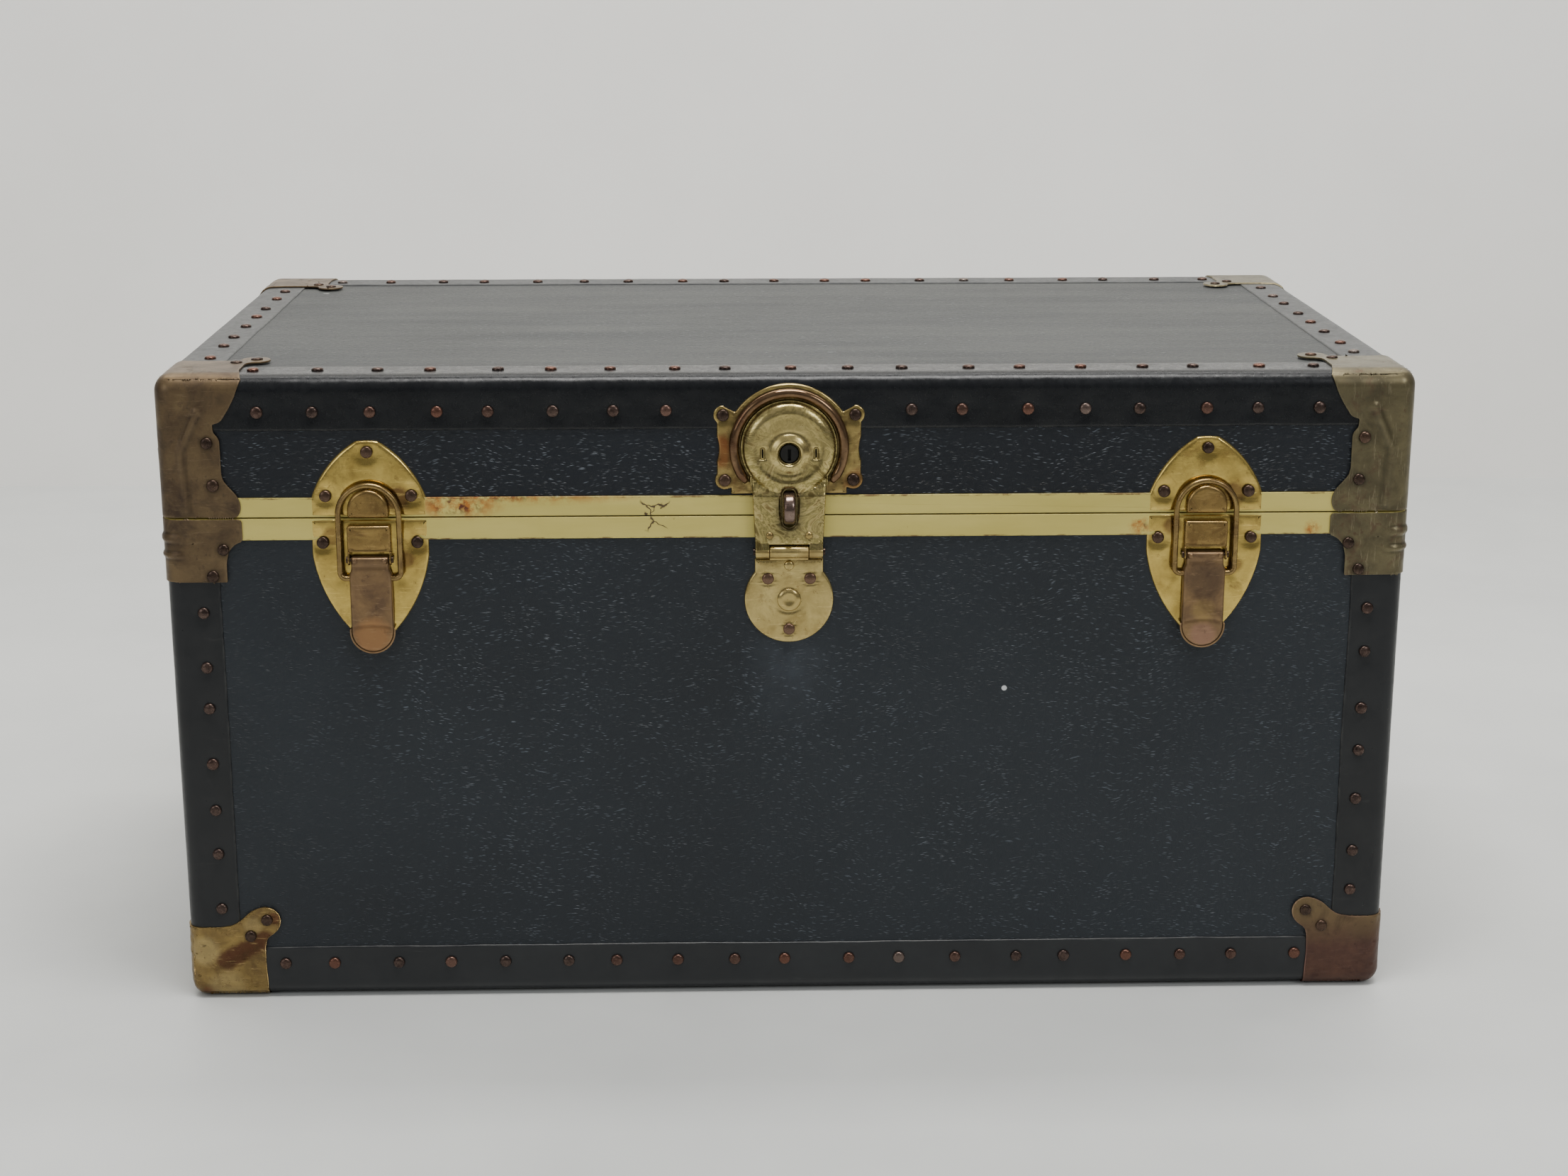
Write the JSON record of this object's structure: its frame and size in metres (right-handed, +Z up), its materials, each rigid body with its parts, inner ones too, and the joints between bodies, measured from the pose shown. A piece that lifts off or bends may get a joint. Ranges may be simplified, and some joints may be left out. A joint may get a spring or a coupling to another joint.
{
  "type": "steamer trunk",
  "caption": "Low steamer trunk: leatherette-covered plywood case with nailed fibre bindings, pressed metal corners, draw bolts, a hasp lock, rear hinges and end handles.",
  "frame": {"origin": "on the floor, under the centre of the model's bounding box", "axes": "+X to the right seen from the front, -Y out of the front, +Z up"},
  "size_m": [0.8326, 0.4644, 0.425],
  "materials": {
    "cover": "plywood covered in grained dark blue-black leatherette, worn and dusty",
    "fibre": "black vulcanised fibre strip, slightly wavy, satin",
    "rim": "pale cream-gold lacquered steel with rust stains",
    "brass": "yellow brass with tarnish spots",
    "dull_brass": "brown tarnished brass plating, dented",
    "red_brass": "brass plating worn to red-brown",
    "patina": "brass with green-brown patina and scratches",
    "steel": "brown oxidised steel, rubbed on the crowns",
    "lining": "buff printed paper glued to the inside, faded",
    "leather": "stitched brown leather, creased"
  },
  "bodies": {
    "body": {"body_front_panel": "cover", "body_rear_panel": "cover", "body_left_panel": "cover", "body_right_panel": "cover", "body_bottom_panel": "cover", "body_lining": "lining", "body_rim": "rim", "body_front_binding": "fibre", "body_rear_binding": "fibre", "body_side_bindings": "fibre", "body_upright_bindings": "fibre", "rim_corner_front_left": "dull_brass", "rim_corner_front_right": "dull_brass", "rim_corner_rear_left": "dull_brass", "rim_corner_rear_right": "dull_brass", "foot_corner_front_left": "brass", "foot_corner_front_right": "red_brass", "foot_corner_rear_left": "dull_brass", "foot_corner_rear_right": "dull_brass", "body_nails": "steel", "body_rivets": "steel", "latch_left_base": "brass", "latch_right_base": "brass", "latch_pins": "steel", "lock_base_plate": "brass", "hasp_pin": "steel", "hinge_lower_leaves": "dull_brass", "hinge_pins": "steel", "handle_mounts": "dull_brass"},
    "lid": {"lid_top_panel": "cover", "lid_front_panel": "cover", "lid_rear_panel": "cover", "lid_left_panel": "cover", "lid_right_panel": "cover", "lid_lining": "lining", "lid_rim": "rim", "lid_front_binding": "fibre", "lid_rear_binding": "fibre", "lid_side_bindings": "fibre", "lid_corner_front_left": "dull_brass", "lid_corner_front_right": "dull_brass", "lid_corner_rear_left": "dull_brass", "lid_corner_rear_right": "dull_brass", "lid_nails": "steel", "lid_rivets": "steel", "latch_left_keeper": "brass", "latch_right_keeper": "brass", "lock_keeper_plate": "brass", "padlock_staple": "steel", "hinge_upper_leaves": "dull_brass"},
    "latch_left_lever": {"latch_left_lever": "dull_brass"},
    "latch_left_bail": {"latch_left_bail": "brass"},
    "latch_right_lever": {"latch_right_lever": "dull_brass"},
    "latch_right_bail": {"latch_right_bail": "brass"},
    "hasp": {"hasp": "patina", "lock_back_cover": "dull_brass"},
    "lock_barrel": {"lock_barrel": "dull_brass"},
    "lock_bolt": {"lock_bolt": "steel"},
    "handle_left": {"handle_left": "leather"},
    "handle_right": {"handle_right": "leather"}
  },
  "joints": [
    {"name": "lid_hinge", "type": "hinge", "parent": "body", "child": "lid", "pos_m": [0, 0.22905, 0.3305], "axis": [-1, 0, 0], "range_deg": [0, 105]},
    {"name": "latch_left_lever", "type": "hinge", "parent": "body", "child": "latch_left_lever", "pos_m": [-0.268, -0.21995, 0.304], "axis": [-1, 0, 0], "range_deg": [0, 120]},
    {"name": "latch_left_bail", "type": "hinge", "parent": "latch_left_lever", "child": "latch_left_bail", "pos_m": [-0.268, -0.21935, 0.2915], "axis": [1, 0, 0], "range_deg": [0, 135]},
    {"name": "latch_right_lever", "type": "hinge", "parent": "body", "child": "latch_right_lever", "pos_m": [0.268, -0.21995, 0.304], "axis": [-1, 0, 0], "range_deg": [0, 120]},
    {"name": "latch_right_bail", "type": "hinge", "parent": "latch_right_lever", "child": "latch_right_bail", "pos_m": [0.268, -0.21935, 0.2915], "axis": [1, 0, 0], "range_deg": [0, 135]},
    {"name": "hasp_hinge", "type": "hinge", "parent": "body", "child": "hasp", "pos_m": [0, -0.21865, 0.3072], "axis": [1, 0, 0], "range_deg": [0, 150]},
    {"name": "lock_barrel_turn", "type": "hinge", "parent": "hasp", "child": "lock_barrel", "pos_m": [0, -0.21975, 0.372], "axis": [0, 1, 0], "range_deg": [0, 90]},
    {"name": "lock_bolt_slide", "type": "slide", "parent": "hasp", "child": "lock_bolt", "axis": [0, 0, -1], "range_m": [0, 0.0029]},
    {"name": "handle_left_pivot", "type": "hinge", "parent": "body", "child": "handle_left", "pos_m": [-0.4083, 0.00505, 0.222], "axis": [0, 1, 0], "range_deg": [0, 90]},
    {"name": "handle_right_pivot", "type": "hinge", "parent": "body", "child": "handle_right", "pos_m": [0.4083, 0.00505, 0.222], "axis": [0, -1, 0], "range_deg": [0, 90]}
  ],
  "couplings": [
    {"joint": "latch_left_bail", "follows": "latch_left_lever", "ratio": 1.12},
    {"joint": "latch_right_bail", "follows": "latch_right_lever", "ratio": 1.12},
    {"joint": "lock_barrel_turn", "follows": "lock_bolt_slide", "rad_per_m": 541.5}
  ]
}
